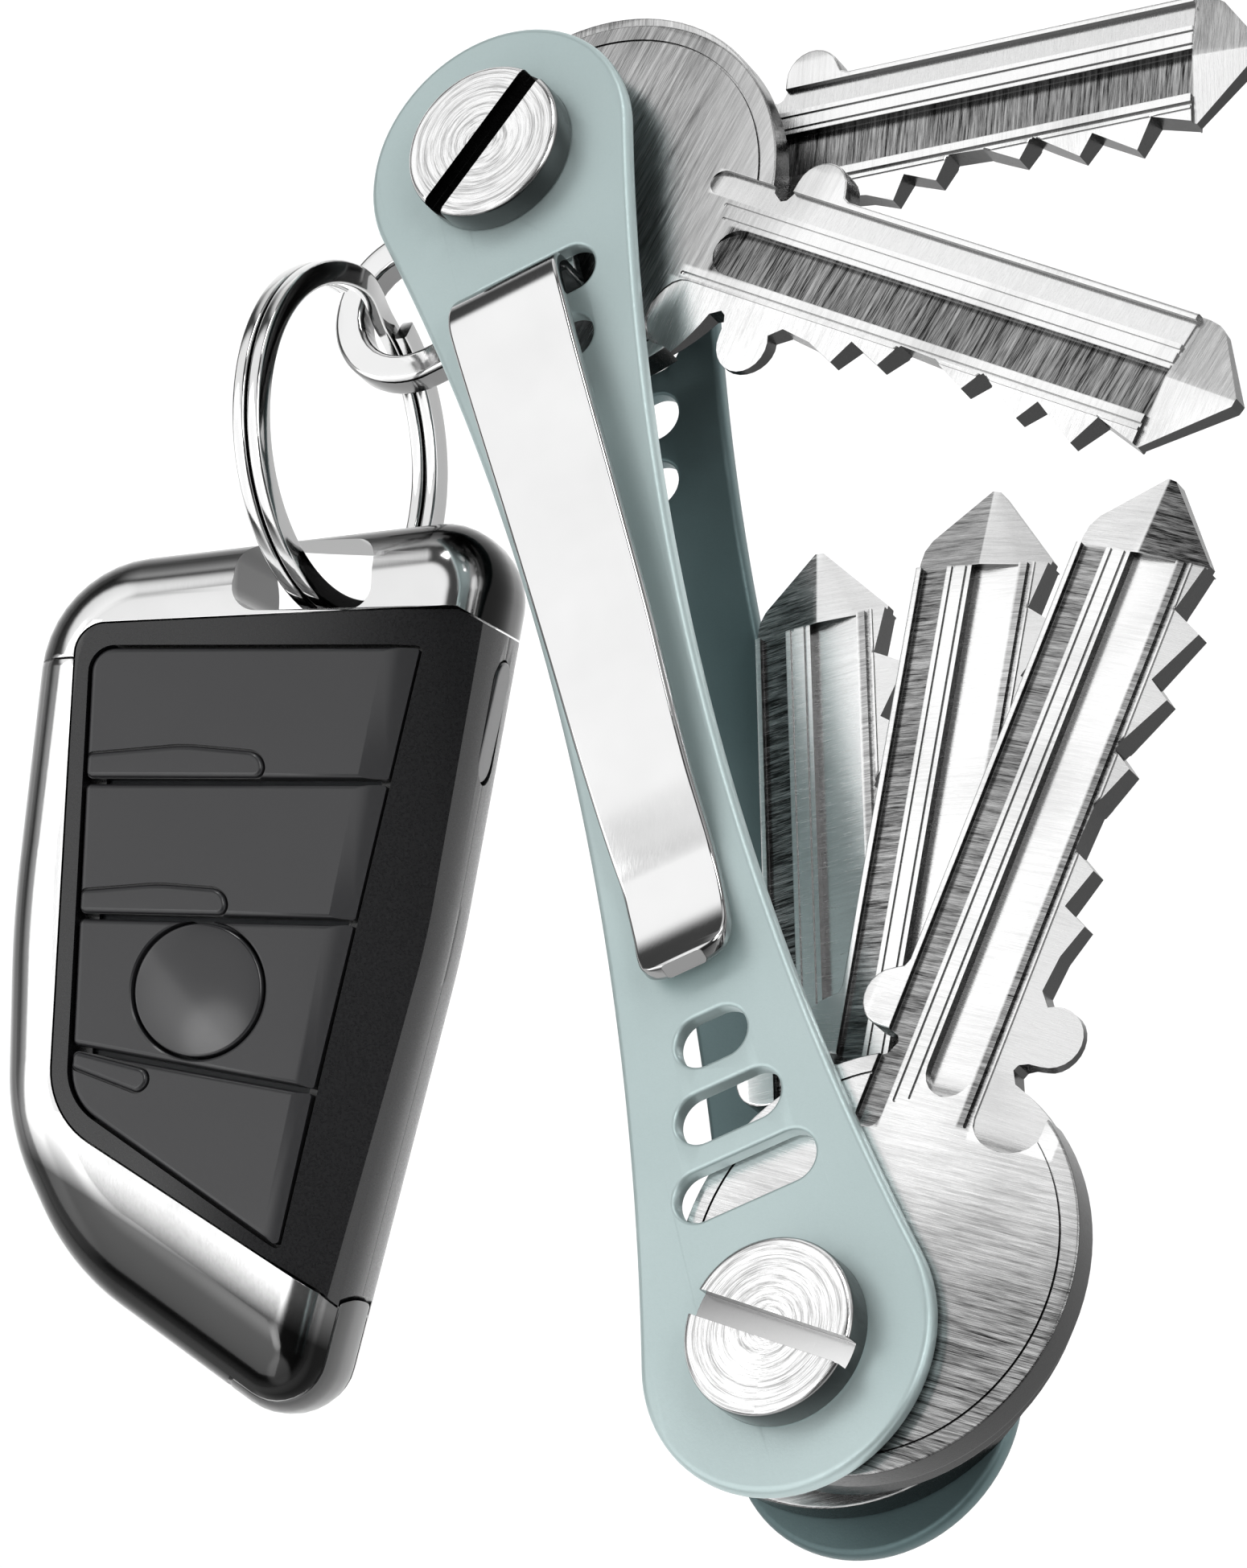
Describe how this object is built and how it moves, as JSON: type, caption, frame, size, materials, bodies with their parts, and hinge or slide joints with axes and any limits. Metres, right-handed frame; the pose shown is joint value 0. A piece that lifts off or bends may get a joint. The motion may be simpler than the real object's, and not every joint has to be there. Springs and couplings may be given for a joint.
{
  "type": "key organiser",
  "caption": "Slim key organiser: two waisted plates on screw posts hold fold-out keys, a pocket clip and a loop tab with a split ring and a remote fob.",
  "frame": {"origin": "centre of the lower post's rear head, on its outer face", "axes": "+X from the lower post to the upper post, +Z out of the front plate, +Y towards the loop tab and fob"},
  "size_m": [0.0881, 0.0824, 0.0273],
  "materials": {
    "plate": "satin anodised, sage grey, with brighter rounded rims",
    "screw_steel": "polished, with fine turned rings",
    "spacer_steel": "fine turned",
    "clip_steel": "mirror polished",
    "key_steel": "cross brushed, with milled channels",
    "ring_steel": "polished flat wire",
    "fob_chrome": "smooth satin chrome",
    "fob_shell": "satin moulded plastic",
    "fob_panel": "satin moulded plastic, slightly lighter",
    "fob_button": "smooth satin dome",
    "mat_rubber": "moulded silicone",
    "board": "lacquered laminate",
    "battery_steel": "plain",
    "contact_brass": "plain sprung strip"
  },
  "bodies": {
    "organiser": {"front_plate": "plate", "rear_plate": "plate", "lower_post": "screw_steel", "upper_post": "screw_steel", "lower_screw": "screw_steel", "upper_screw": "screw_steel", "lower_spacers": "spacer_steel", "upper_spacers": "spacer_steel", "pocket_clip": "clip_steel"},
    "key_1": {"key_1": "key_steel"},
    "key_2": {"key_2": "key_steel"},
    "key_3": {"key_3": "key_steel"},
    "key_4": {"key_4": "key_steel"},
    "key_5": {"key_5": "key_steel"},
    "tab": {"loop_tab": "clip_steel"},
    "ring": {"split_ring": "ring_steel"},
    "fob": {"fob_cap": "fob_chrome", "fob_trim": "fob_chrome", "fob_rear_shell": "fob_shell", "fob_front_cover": "fob_shell", "middle_panel": "fob_panel", "button_mat": "mat_rubber", "circuit_board": "board", "battery": "battery_steel", "battery_contacts": "contact_brass"},
    "upper_pad": {"upper_pad": "fob_panel"},
    "second_pad": {"second_pad": "fob_panel"},
    "lower_pad": {"lower_pad": "fob_panel"},
    "round_button": {"round_button": "fob_button"},
    "release_button": {"release_button": "fob_shell"},
    "emergency_key": {"emergency_key": "key_steel"}
  },
  "joints": [
    {"name": "key_1_swing", "type": "hinge", "parent": "organiser", "child": "key_1", "pos_m": [0.07, 0, 0.006], "axis": [0, 0, 1], "range_deg": [-72, 98]},
    {"name": "key_2_swing", "type": "hinge", "parent": "organiser", "child": "key_2", "pos_m": [0.07, 0, 0.006], "axis": [0, 0, 1], "range_deg": [-45, 125]},
    {"name": "key_3_swing", "type": "hinge", "parent": "organiser", "child": "key_3", "pos_m": [0, 0, 0.006], "axis": [0, 0, 1], "range_deg": [-158, 11.8]},
    {"name": "key_4_swing", "type": "hinge", "parent": "organiser", "child": "key_4", "pos_m": [0, 0, 0.006], "axis": [0, 0, 1], "range_deg": [-145, 24.3]},
    {"name": "key_5_swing", "type": "hinge", "parent": "organiser", "child": "key_5", "pos_m": [0, 0, 0.006], "axis": [0, 0, 1], "range_deg": [-132, 37.6]},
    {"name": "tab_swing", "type": "hinge", "parent": "organiser", "child": "tab", "pos_m": [0.07, 0, 0.006], "axis": [0, 0, 1], "range_deg": [-60, 5]},
    {"name": "ring_swing", "type": "hinge", "parent": "tab", "child": "ring", "pos_m": [0.06757, 0.01254, 0.00357], "axis": [-0.3633, -0.9317, 0], "range_deg": [-20, 20]},
    {"name": "fob_swing", "type": "hinge", "parent": "ring", "child": "fob", "pos_m": [0.06249, 0.01452, 0.00585], "axis": [-0.3633, -0.9317, 0], "range_deg": [-25, 25]},
    {"name": "upper_pad_press", "type": "slide", "parent": "fob", "child": "upper_pad", "axis": [0.349, 0.1285, -0.9283], "range_m": [0, 0.0003], "stiffness_N_per_m": 300},
    {"name": "second_pad_press", "type": "slide", "parent": "fob", "child": "second_pad", "axis": [0.349, 0.1285, -0.9283], "range_m": [0, 0.0003], "stiffness_N_per_m": 300},
    {"name": "lower_pad_press", "type": "slide", "parent": "fob", "child": "lower_pad", "axis": [0.349, 0.1285, -0.9283], "range_m": [0, 0.0003], "stiffness_N_per_m": 300},
    {"name": "round_button_press", "type": "slide", "parent": "fob", "child": "round_button", "axis": [0.349, 0.1285, -0.9283], "range_m": [0, 0.0003], "stiffness_N_per_m": 300},
    {"name": "release_button_press", "type": "slide", "parent": "fob", "child": "release_button", "axis": [0.4881, 0.8206, 0.2971], "range_m": [0, 0.0002], "stiffness_N_per_m": 300},
    {"name": "emergency_key_slide", "type": "slide", "parent": "fob", "child": "emergency_key", "axis": [-0.7797, 0.5893, -0.2116], "range_m": [0, 0.03]}
  ]
}
